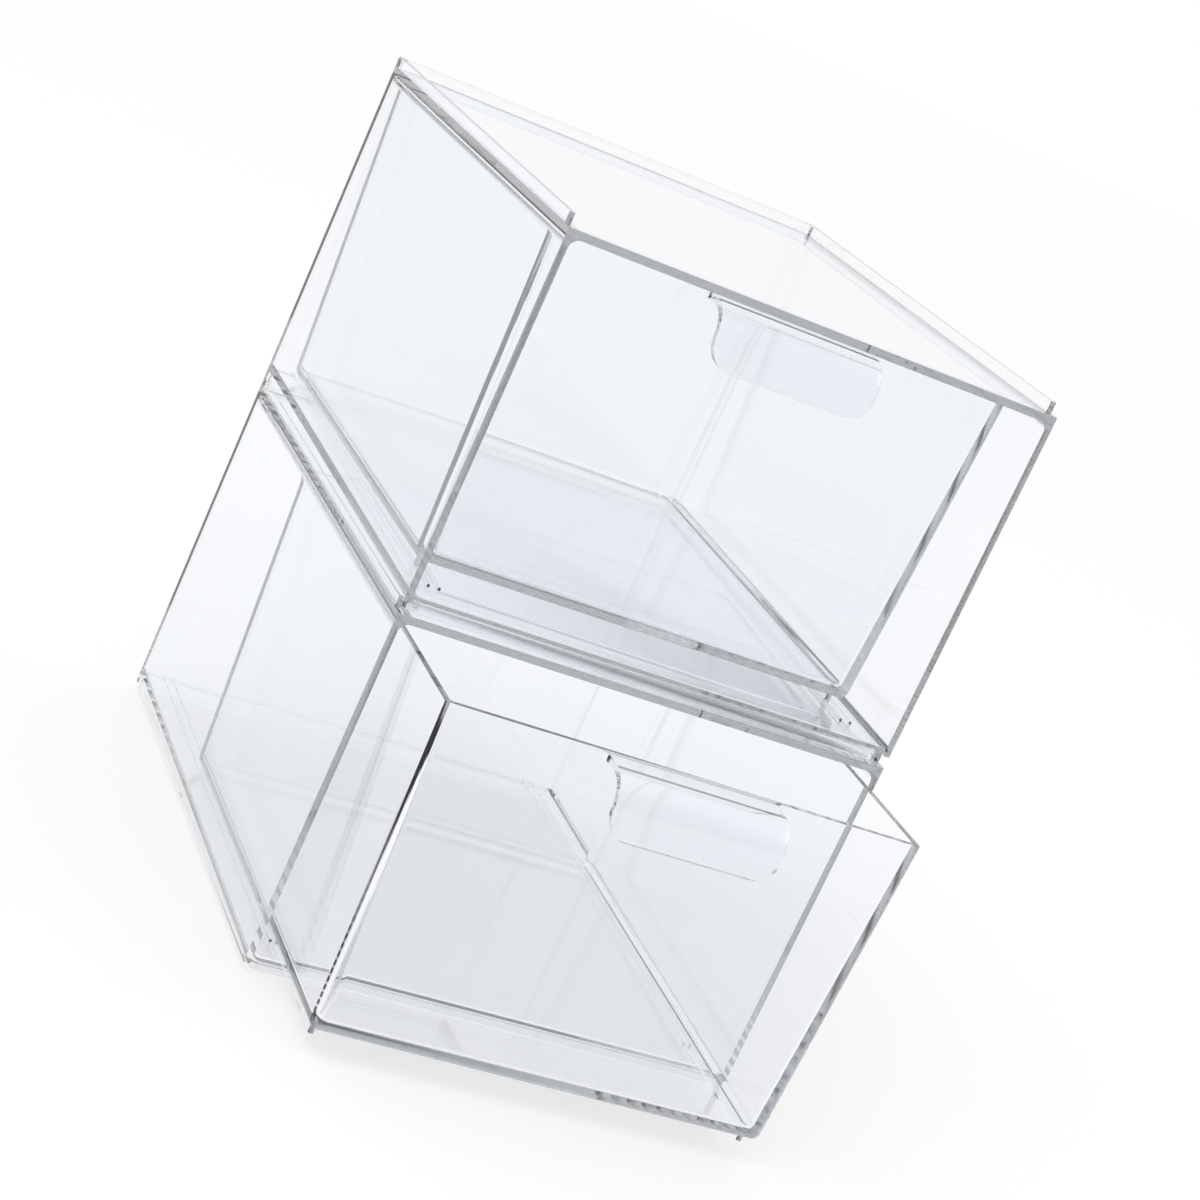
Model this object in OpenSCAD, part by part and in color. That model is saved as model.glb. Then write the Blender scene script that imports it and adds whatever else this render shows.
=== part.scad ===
// Two stacked units of a clear moulded drawer organizer. Each unit is an
// open-fronted case and a drawer with a rolled finger pull. The case has a
// raised rim round its top and a locating ring under its floor, so the units
// stack. The case floor rises to the back, and the drawer's two skids have the
// same slope, so the drawer stays level while it slides.
// Millimetres, +Z up, the front of the unit towards -Y. The origin is on the
// resting plane, in the middle of the space that the object takes up.

/* [Case] */
// Outer width of a case
case_w = 160; // [120:1:240]
// Outer depth of a case, from its front edge to its back face
case_d = 200; // [150:1:300]
// Height of a case from the lower edge of its side walls to its top panel
case_h = 111.5; // [80:0.5:160]
// Thickness of the two side walls
side_t = 2.1; // [1.6:0.1:4]
// Thickness of the top panel
top_t = 2.4; // [1.6:0.1:4]
// Thickness of the back wall
back_t = 2.4; // [1.6:0.1:4]
// Radius of the two inner corners under the top panel
ceiling_r = 3; // [1:0.5:8]
// Radius of the two outer upright edges at the back
back_r = 1.2; // [0.6:0.1:2]

/* [Case floor] */
// Thickness of the floor panel
floor_t = 1.8; // [1.4:0.1:4]
// Height of the floor's underside above the side walls' lower edge, at the front
floor_lift = 0.5; // [0.3:0.1:4]
// Rise of the floor from the front to the back of the case
floor_rise = 2; // [0:0.5:6]
// Radius of the fillets between the floor and the side walls
floor_fillet = 1.4; // [0.6:0.1:4]

/* [Stacking rim and ring] */
// Height of the rim above the top panel
rim_h = 3.4; // [2:0.1:8]
// Thickness of the rim
rim_t = 1.8; // [1.4:0.1:4]
// Distance of the rim's two ends behind the case's front edge
rim_setback = 4.2; // [2:0.1:20]
// Thickness of the ring under the floor
ring_t = 1.8; // [1.2:0.1:4]
// Corner radius of that ring
ring_r = 4; // [2.5:0.5:8]
// Distance of the ring's front behind the case's front edge
ring_setback = 1; // [0.5:0.1:5]
// Side clearance between a ring and the rim that it sits in
stack_side_gap = 0.2; // [0.1:0.05:1]
// Gap under a stacked case's side walls, where they stand on the rim
stack_seat_gap = 0.1; // [0:0.05:0.3]
// Gap left between a ring and the top panel below it
ring_clear = 0.8; // [0.3:0.1:2]

/* [Track] */
// Distance of the track's centre from the case's outer side face
track_inset = 11.5; // [8:0.5:20]
// Width of the groove between the track's two ribs
track_w = 2.6; // [2:0.1:6]
// Width of each rib of the track
rib_w = 0.8; // [0.6:0.1:2]
// Height of each rib above the floor
rib_h = 0.9; // [0.4:0.1:2]
// Distance of the ribs' front ends behind the case's front edge
rib_setback = 12; // [4:1:30]

/* [Drawer] */
// Clearance behind the closed drawer, to the case's back wall
drawer_back_gap = 0.4; // [0.2:0.1:4]
// Height of the drawer's walls
drawer_h = 100.8; // [60:0.1:150]
// Height of the drawer's underside above the case floor, at the case's front edge
drawer_lift = 3.3; // [2.2:0.1:6]
// Clearance at the drawer's top edge to each inner side of the case
drawer_side_gap = 2.6; // [0.8:0.1:5]
// Distance of the closed drawer's front behind the case's front edge
recess = 21; // [19.5:0.5:40]
// Lean of the drawer's side walls
side_draft = 2; // [0:0.25:4]
// Lean of the drawer's back wall
back_draft = 2; // [0:0.25:4]
// Lean of the drawer's front wall
front_draft = 0.4; // [0:0.1:4]
// Thickness of the drawer's walls at their top edge
wall_t = 2; // [1.4:0.1:3.5]
// Added lean of the walls' inner faces
core_draft = 0.5; // [0:0.1:1]
// Thickness of the drawer's floor
base_t = 2.5; // [1.6:0.1:4]
// Radius of the drawer's upright edges at the top
edge_r = 1.2; // [0.8:0.1:3]
// Radius of the drawer's lower edges
base_r = 3; // [1.5:0.1:5]
// Radius of the inner corners at the drawer's floor
inner_r = 2.2; // [1:0.1:4]

/* [Skids] */
// Width of each skid under the drawer
skid_w = 1.8; // [1:0.1:4]
// Distance of a skid's two ends from the drawer's front and back
skid_setback = 6; // [4:0.5:30]
// Running gap between a skid and the case floor
run_gap = 0.15; // [0.05:0.05:0.4]

/* [Finger pull] */
// Width of the pull
pull_w = 52.8; // [30:0.1:100]
// Thickness of the pull's sheet
pull_t = 2; // [1.2:0.1:3]
// Length of the pull's flat top
pull_flat = 8.2; // [3:0.1:12]
// Outer radius of the pull's roll
roll_r = 9.5; // [4:0.1:10]
// Height of the pull, from the drawer's top edge to its free edge
pull_drop = 17.4; // [12:0.1:40]
// Forward lean of the pull's skirt, at its free edge
skirt_lean = 0.8; // [0:0.1:1.2]
// Radius of the pull's two lower corners
pull_corner_r = 8; // [1:0.5:12]
// Radius of the fillets where the pull's top leaves the drawer
root_r = 3.8; // [1:0.2:6]

/* [Motion] */
// Distance that the lower drawer stands open
open_lower = 65.5; // [0:0.5:150]
// Distance that the upper drawer stands open
open_upper = 0; // [0:0.5:150]

/* [Hidden] */
// Straight steps in a quarter turn, on curves made of points
steps = 8;
// Reach of a cutting solid past the face that it cuts
cut = 1;
$fn = 32;

slope = atan(floor_rise / case_d);
ring_inset = rim_t + stack_side_gap;
ring_h = rim_h + stack_seat_gap - ring_clear;
pitch = case_h + rim_h + stack_seat_gap;
floor_top = floor_lift + floor_t;
drawer_w = case_w - 2 * (side_t + drawer_side_gap);
drawer_l = case_d - back_t - recess - drawer_back_gap;
pull_reach = pull_flat + roll_r + skirt_lean;
// Height of the closed drawer's underside above the side walls' lower edge
drawer_z = floor_top + recess * tan(slope) + drawer_lift;
// The case's front edge, with the object's length centred on the origin
front_y = -(case_d + min(0, recess - pull_reach - max(open_lower, open_upper) * cos(slope))) / 2;

// Points on an arc about [x, y], from angle a to angle b
function arc(x, y, r, a, b) =
    [for (i = [0:steps]) let (t = a + (b - a) * i / steps) [x + r * cos(t), y + r * sin(t)]];

// Rectangle between two corners, with one radius on its two corners at the far
// side and another on the near ones
function round_rect(x, y0, y1, near_r, far_r) = concat(
    near_r > 0 ? arc(x - near_r, y0 + near_r, near_r, -90, 0) : [[x, y0]],
    far_r > 0 ? arc(x - far_r, y1 - far_r, far_r, 0, 90) : [[x, y1]],
    far_r > 0 ? arc(far_r - x, y1 - far_r, far_r, 90, 180) : [[-x, y1]],
    near_r > 0 ? arc(near_r - x, y0 + near_r, near_r, 180, 270) : [[-x, y0]]);

// Turns a front view, drawn in x and z, into a solid that runs to the back
module run_back(y0, y1) {
    translate([0, y1, 0]) rotate([90, 0, 0]) linear_extrude(y1 - y0) children();
}

// Lays its children on the sloping top of the case floor
module on_floor() {
    translate([0, 0, floor_top]) rotate([slope, 0, 0]) children();
}

// Outer walls, top panel and rim: an upturned trough with a back wall
module shell() {
    inner_x = case_w / 2 - side_t;
    difference() {
        linear_extrude(case_h + rim_h)
            polygon(round_rect(case_w / 2, 0, case_d, 0, back_r));
        // The room for the drawer, open at the front and below
        run_back(-cut, case_d - back_t)
            polygon(round_rect(inner_x, -cut, case_h - top_t, 0, ceiling_r));
        // The tray inside the rim
        translate([0, 0, case_h]) linear_extrude(rim_h + cut)
            polygon(round_rect(case_w / 2 - rim_t, -cut, case_d - rim_t, 0, ring_r - stack_side_gap));
        // The rim stops short of the front edge
        translate([-case_w / 2 - cut, -cut, case_h])
            cube([case_w + 2 * cut, rim_setback + cut, rim_h + cut]);
    }
}

// Floor panel with a fillet up each side wall
module floor_panel() {
    edge_x = case_w / 2 - side_t / 2;
    fillet_x = case_w / 2 - side_t - floor_fillet;
    intersection() {
        on_floor() run_back(-cut, case_d + cut)
            polygon(concat(
                [[-edge_x, -floor_t], [edge_x, -floor_t], [edge_x, floor_fillet]],
                arc(fillet_x, floor_fillet, floor_fillet, 0, -90),
                arc(-fillet_x, floor_fillet, floor_fillet, -90, -180),
                [[-edge_x, floor_fillet]]));
        translate([-case_w / 2, 0, 0]) cube([case_w, case_d - back_t / 2, case_h / 2]);
    }
}

// Ring under the floor, which drops inside the rim of the case below
module ring() {
    outer_x = case_w / 2 - ring_inset;
    y0 = ring_setback;
    y1 = case_d - ring_inset;
    intersection() {
        translate([0, 0, -ring_h]) linear_extrude(ring_h + floor_top + floor_rise)
            difference() {
                polygon(round_rect(outer_x, y0, y1, ring_r, ring_r));
                polygon(round_rect(outer_x - ring_t, y0 + ring_t, y1 - ring_t, ring_r - ring_t, ring_r - ring_t));
            }
        // The ring ends half-way up the floor panel
        on_floor() translate([-case_w / 2, -case_d, -case_h - floor_t / 2])
            cube([case_w, 3 * case_d, case_h]);
    }
}

// The two ribs of a track, on one side of the floor
module track() {
    for (side = [-1, 1]) on_floor()
        translate([side * (track_w + rib_w) / 2, 0, -floor_t / 2])
            linear_extrude(floor_t / 2 + rib_h)
                polygon(concat(
                    arc(0, rib_setback + rib_w / 2, rib_w / 2, 180, 360),
                    [[rib_w / 2, case_d - back_t / 2], [-rib_w / 2, case_d - back_t / 2]]));
}

// One case, with its side walls' lower edge at z = 0
module case_body() {
    union() {
        shell();
        floor_panel();
        ring();
        for (side = [-1, 1]) translate([side * (case_w / 2 - track_inset), 0, 0]) track();
    }
}

// Drafted tub from its underside to z = h. The tops of its walls are at
// y = 0 and y = l, and its walls lean in going down.
module tub(w, l, h, side, front, back, top_r, foot_r) {
    low_x = w / 2 - (h - foot_r) * tan(side) - foot_r / cos(side);
    low_front = (h - foot_r) * tan(front) + foot_r / cos(front);
    low_back = l - (h - foot_r) * tan(back) - foot_r / cos(back);
    hull() {
        for (x = [-1, 1]) {
            for (y = [top_r, l - top_r])
                translate([x * (w / 2 - top_r), y, h - cut / 10]) cylinder(r = top_r, h = cut / 10);
            for (y = [low_front, low_back])
                translate([x * low_x, y, 0]) rotate_extrude()
                    intersection() {
                        translate([0, foot_r]) circle(foot_r);
                        square(foot_r);
                    }
        }
    }
}

// Rolled sheet of the finger pull, in front of y = 0 and below z = 0
module pull() {
    free_r = pull_t / 2;
    skirt_x = pull_flat + roll_r;
    profile = concat(
        [[-wall_t / 2, 0]],
        arc(pull_flat, -roll_r, roll_r, 90, 0),
        arc(skirt_x + skirt_lean - free_r, -pull_drop + free_r, free_r, 0, -180),
        arc(pull_flat, -roll_r, roll_r - pull_t, 0, 90),
        [[-wall_t / 2, -pull_t]]);
    intersection() {
        rotate([90, 0, -90]) linear_extrude(pull_w, center = true) polygon(profile);
        run_back(-pull_reach - cut, wall_t)
            polygon(round_rect(pull_w / 2, -pull_drop, cut, pull_corner_r, 0));
    }
    // Fillets at the root, in plan
    for (turned = [0, 1]) mirror([turned, 0, 0])
        translate([pull_w / 2, 0, -pull_t]) linear_extrude(pull_t)
            polygon(concat(
                [[-cut, wall_t / 2], [-cut, -root_r]],
                arc(root_r, -root_r, root_r, 180, 90),
                [[root_r, wall_t / 2]]));
}

// The two skids, whose undersides follow the slope of the case floor
module skids() {
    y0 = skid_setback;
    y1 = drawer_l - drawer_h * tan(back_draft) - skid_setback;
    for (x = [-1, 1]) translate([x * (case_w / 2 - track_inset), 0, 0])
        difference() {
            translate([0, 0, -drawer_lift - floor_t]) linear_extrude(drawer_lift + floor_t + base_t / 2)
                polygon(concat(
                    arc(0, y0 + skid_w / 2, skid_w / 2, 180, 360),
                    arc(0, y1 - skid_w / 2, skid_w / 2, 0, 180)));
            translate([-skid_w, 0, -drawer_lift + run_gap]) rotate([slope, 0, 0])
                translate([0, -cut, -case_h]) cube([2 * skid_w, drawer_l + 2 * cut, case_h]);
        }
}

// One drawer, with its underside at z = 0 and its front face at y = 0
module drawer_body() {
    core_side = side_draft + core_draft;
    union() {
        difference() {
            tub(drawer_w, drawer_l, drawer_h, side_draft, front_draft, back_draft, edge_r, base_r);
            translate([0, wall_t, base_t])
                tub(drawer_w - 2 * wall_t, drawer_l - 2 * wall_t, drawer_h - base_t + cut,
                    core_side, front_draft + core_draft, back_draft + core_draft, edge_r, inner_r);
        }
        translate([0, 0, drawer_h]) pull();
        skids();
    }
}

// Puts a drawer in its case, slid open along the slope of the floor
module in_case(travel) {
    translate([0, recess - travel * cos(slope), drawer_z - travel * sin(slope)]) children();
}

// Puts a unit in the stack, counted from 0
module in_stack(level) {
    translate([0, front_y, ring_h + level * pitch]) children();
}

module lower_case() { color([0.90, 0.93, 0.97, 0.35]) in_stack(0) case_body(); }
module lower_drawer() { color([0.93, 0.95, 0.98, 0.35]) in_stack(0) in_case(open_lower) drawer_body(); }
module upper_case() { color([0.90, 0.93, 0.97, 0.35]) in_stack(1) case_body(); }
module upper_drawer() { color([0.93, 0.95, 0.98, 0.35]) in_stack(1) in_case(open_upper) drawer_body(); }

lower_case();
lower_drawer();
upper_case();
upper_drawer();
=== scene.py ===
import math

import bmesh
import bpy
from mathutils import Matrix, Quaternion, Vector


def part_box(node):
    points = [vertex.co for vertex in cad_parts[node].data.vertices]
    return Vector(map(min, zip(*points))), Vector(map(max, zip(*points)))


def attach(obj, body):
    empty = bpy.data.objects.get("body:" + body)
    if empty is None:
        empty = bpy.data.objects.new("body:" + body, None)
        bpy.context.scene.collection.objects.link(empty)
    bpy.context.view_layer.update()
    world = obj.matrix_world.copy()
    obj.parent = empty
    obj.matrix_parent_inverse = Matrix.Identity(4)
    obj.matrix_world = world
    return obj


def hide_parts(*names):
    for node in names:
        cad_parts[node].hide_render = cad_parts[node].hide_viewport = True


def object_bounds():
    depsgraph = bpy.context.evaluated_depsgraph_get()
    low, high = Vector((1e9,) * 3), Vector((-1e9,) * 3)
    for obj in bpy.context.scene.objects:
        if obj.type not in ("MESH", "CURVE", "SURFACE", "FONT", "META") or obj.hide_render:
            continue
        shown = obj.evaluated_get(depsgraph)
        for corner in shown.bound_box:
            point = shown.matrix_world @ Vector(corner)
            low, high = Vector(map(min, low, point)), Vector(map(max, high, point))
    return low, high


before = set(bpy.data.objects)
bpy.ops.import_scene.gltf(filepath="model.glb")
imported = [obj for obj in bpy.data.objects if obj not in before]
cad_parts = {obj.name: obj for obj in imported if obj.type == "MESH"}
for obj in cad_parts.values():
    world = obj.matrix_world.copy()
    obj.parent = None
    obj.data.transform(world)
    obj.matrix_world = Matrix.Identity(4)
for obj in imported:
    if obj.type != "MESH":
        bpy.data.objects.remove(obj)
cad_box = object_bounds()

# Camera at the photograph's viewpoint, solved from the straight edges of the two
# cases. It is turned about its own axis, so the stack leans in the picture.
ring_drop = 0.0027  # the lower case's ring reaches this far below its side walls
eye_from_corner = Vector((-0.276005, -0.709446, 0.325763))
turn = Vector((1.8559034, -0.0021291, 0.6107469))  # axis times angle, in radians
focal_px = 2900.54
picture_px = 1200
sensor_mm = 36
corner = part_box("lower_case")[0] + Vector((0, 0, ring_drop))
to_camera = Quaternion(turn.normalized(), turn.length).to_matrix()
to_world = to_camera.transposed() @ Matrix.Diagonal((1, -1, -1))
camera = bpy.data.objects.new("camera", bpy.data.cameras.new("camera"))
camera.data.sensor_width = sensor_mm
camera.data.lens = sensor_mm * focal_px / picture_px
camera.data.clip_start = 0.01
camera.data.clip_end = 50
camera.matrix_world = Matrix.Translation(corner + eye_from_corner) @ to_world.to_4x4()
bpy.context.scene.collection.objects.link(camera)
bpy.context.scene.camera = camera


# The two cases: clear polystyrene, each moulded in one shot with its rim, ring
# and tracks. The melt leaves faint flow marks in the polished walls.
class Sock:
    """A node's output that takes part in Python sums and products."""

    def __init__(self, tree, output):
        self.tree = tree
        self.output = output

    def math(self, operation, other):
        return make(self.tree, "ShaderNodeMath", {"operation": operation}, {0: self, 1: other})

    def __add__(self, other):
        return self.math("ADD", other)

    def __mul__(self, other):
        return self.math("MULTIPLY", other)

    __radd__ = __add__
    __rmul__ = __mul__


def make(tree, kind, settings, values, output=0):
    """Adds one node: its settings first, then the values or links of its sockets."""
    node = tree.nodes.new(kind)
    for name, value in settings.items():
        setattr(node, name, value)
    for socket, value in values.items():
        if isinstance(value, Sock):
            tree.links.new(value.output, node.inputs[socket])
        else:
            node.inputs[socket].default_value = value
    return Sock(tree, node.outputs[output]) if node.outputs else None


def empty_tree(owner):
    """The node tree of a material or world, with nothing in it."""
    owner.use_nodes = True
    owner.node_tree.nodes.clear()
    return owner.node_tree


def clear_plastic(name, tint, deep_tint, flow_scale, haze, ripple, density):
    """Clear moulded plastic. Its faint haze and ripple follow stretched noise, as
    melt flows, and light that runs inside a wall is slowly taken up."""
    speck_scale = 900.0
    speck_share = 0.4
    ripple_depth = 0.0002
    taken_up = (0.78, 0.785, 0.79, 1.0)
    material = bpy.data.materials.new(name)
    tree = empty_tree(material)
    place = make(tree, "ShaderNodeTexCoord", {}, {}, "Object")
    flow = make(tree, "ShaderNodeMapping", {}, {"Vector": place, "Scale": flow_scale})
    marks = make(tree, "ShaderNodeTexNoise", {}, {"Vector": flow, "Scale": 1.0, "Detail": 3.0})
    specks = make(tree, "ShaderNodeTexNoise", {}, {
        "Vector": place, "Scale": speck_scale, "Detail": 2.0})
    colour = make(tree, "ShaderNodeMix", {"data_type": "RGBA"}, {0: marks, 6: tint, 7: deep_tint}, 2)
    relief = make(tree, "ShaderNodeBump", {}, {
        "Strength": ripple, "Distance": ripple_depth, "Height": marks})
    body = make(tree, "ShaderNodeBsdfPrincipled", {}, {
        "Base Color": colour, "Roughness": haze * marks + speck_share * haze * specks,
        "Normal": relief, "IOR": 1.5, "Transmission Weight": 1.0})
    inside = make(tree, "ShaderNodeVolumeAbsorption", {}, {"Color": taken_up, "Density": density})
    make(tree, "ShaderNodeOutputMaterial", {}, {"Surface": body, "Volume": inside})
    return material


def moulded(node, name, material):
    """The node's own shape, with its triangles welded and its flat areas made
    single faces. Curves are shaded smooth, and large flat faces stay flat."""
    weld = 1e-6
    flat_within = math.radians(0.3)
    smooth_under = math.radians(30)
    shape = bmesh.new()
    shape.from_mesh(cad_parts[node].data)
    bmesh.ops.remove_doubles(shape, verts=shape.verts, dist=weld)
    bmesh.ops.dissolve_limit(shape, angle_limit=flat_within, verts=shape.verts, edges=shape.edges)
    mesh = bpy.data.meshes.new(name)
    shape.to_mesh(mesh)
    shape.free()
    mesh.materials.clear()
    mesh.materials.append(material)
    mesh.shade_smooth()
    mesh.set_sharp_from_angle(angle=smooth_under)
    piece = bpy.data.objects.new(name, mesh)
    bpy.context.scene.collection.objects.link(piece)
    flats = piece.modifiers.new("flat faces stay flat", "WEIGHTED_NORMAL")
    flats.weight = 100
    flats.keep_sharp = True
    return piece


case_plastic = clear_plastic(
    "clear case plastic", tint=(0.97, 0.98, 0.995, 1), deep_tint=(0.955, 0.97, 0.99, 1),
    flow_scale=(14.0, 4.0, 9.0), haze=0.03, ripple=0.06, density=18.0)
for level in ("lower", "upper"):
    case = moulded(f"{level}_case", f"{level}_case_moulding", case_plastic)
    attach(case, f"{level}_case")
    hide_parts(f"{level}_case")

# The two drawers: thinner clear polystyrene, drafted all round to leave the
# mould, with the finger pull rolled over at the front in the same shot.
drawer_plastic = clear_plastic(
    "clear drawer plastic", tint=(0.98, 0.985, 0.995, 1), deep_tint=(0.965, 0.975, 0.992, 1),
    flow_scale=(10.0, 5.0, 16.0), haze=0.025, ripple=0.05, density=14.0)
for level in ("lower", "upper"):
    drawer = moulded(f"{level}_drawer", f"{level}_drawer_moulding", drawer_plastic)
    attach(drawer, f"{level}_drawer")
    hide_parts(f"{level}_drawer")

# The floor: plain white paper. What is seen of it glows a little, so that it is
# as white as the surroundings, and the rest of its light keeps the shadow.
white = (1, 1, 1, 1)
floor_reach = 6.0
shadow_share = 0.3
corners = [(x * floor_reach, y * floor_reach, cad_box[0].z)
           for x, y in ((-1, -1), (1, -1), (1, 1), (-1, 1))]
floor_mesh = bpy.data.meshes.new("floor")
floor_mesh.from_pydata(corners, [], [(0, 1, 2, 3)])
floor = bpy.data.objects.new("floor", floor_mesh)
bpy.context.scene.collection.objects.link(floor)
paper = bpy.data.materials.new("white paper floor")
tree = empty_tree(paper)
seen = sum(make(tree, "ShaderNodeLightPath", {}, {}, name)
           for name in ("Is Camera Ray", "Is Glossy Ray", "Is Transmission Ray"))
seen_once = make(tree, "ShaderNodeMath", {"operation": "MINIMUM"}, {0: seen, 1: 1.0})
shade = make(tree, "ShaderNodeBsdfDiffuse", {}, {"Color": white})
glow = make(tree, "ShaderNodeEmission", {}, {"Color": white, "Strength": 1.0})
surface = make(tree, "ShaderNodeMixShader", {}, {0: seen_once * (1 - shadow_share), 1: shade, 2: glow})
make(tree, "ShaderNodeOutputMaterial", {}, {"Surface": surface})
floor_mesh.materials.append(paper)

# The studio: white all round, darker on the side that the drawers face, which
# gives the edges their grey, and one large soft lamp above on the left.
darkest = 0.6
dark_up_to = -0.95
white_from = -0.25
world = bpy.data.worlds.new("white studio")
tree = empty_tree(world)
way = make(tree, "ShaderNodeTexCoord", {}, {}, "Generated")
depth = make(tree, "ShaderNodeSeparateXYZ", {}, {"Vector": way}, "Y")
level_there = make(tree, "ShaderNodeMapRange", {"interpolation_type": "SMOOTHSTEP"}, {
    "Value": depth, "From Min": dark_up_to, "From Max": white_from, "To Min": darkest, "To Max": 1.0})
by_camera = make(tree, "ShaderNodeLightPath", {}, {}, "Is Camera Ray")
strength = make(tree, "ShaderNodeMath", {"operation": "MAXIMUM"}, {0: level_there, 1: by_camera})
sky = make(tree, "ShaderNodeBackground", {}, {"Color": white, "Strength": strength})
make(tree, "ShaderNodeOutputWorld", {}, {"Surface": sky})
bpy.context.scene.world = world

lit_point = Vector((0, 0, 0.1))
lamp_data = bpy.data.lights.new("soft lamp", "AREA")
lamp_data.energy = 6
lamp_data.size = 0.9
lamp = bpy.data.objects.new("soft lamp", lamp_data)
lamp.location = (-0.7, -0.5, 1.3)
lamp.rotation_euler = (lit_point - lamp.location).to_track_quat("-Z", "Y").to_euler()
bpy.context.scene.collection.objects.link(lamp)

# Light crosses many clear walls, and turns often inside one, before it leaves
cycles = bpy.context.scene.cycles
cycles.max_bounces = 40
cycles.transmission_bounces = 40
cycles.glossy_bounces = 40
cycles.transparent_max_bounces = 24
bpy.context.scene.view_settings.view_transform = "Standard"
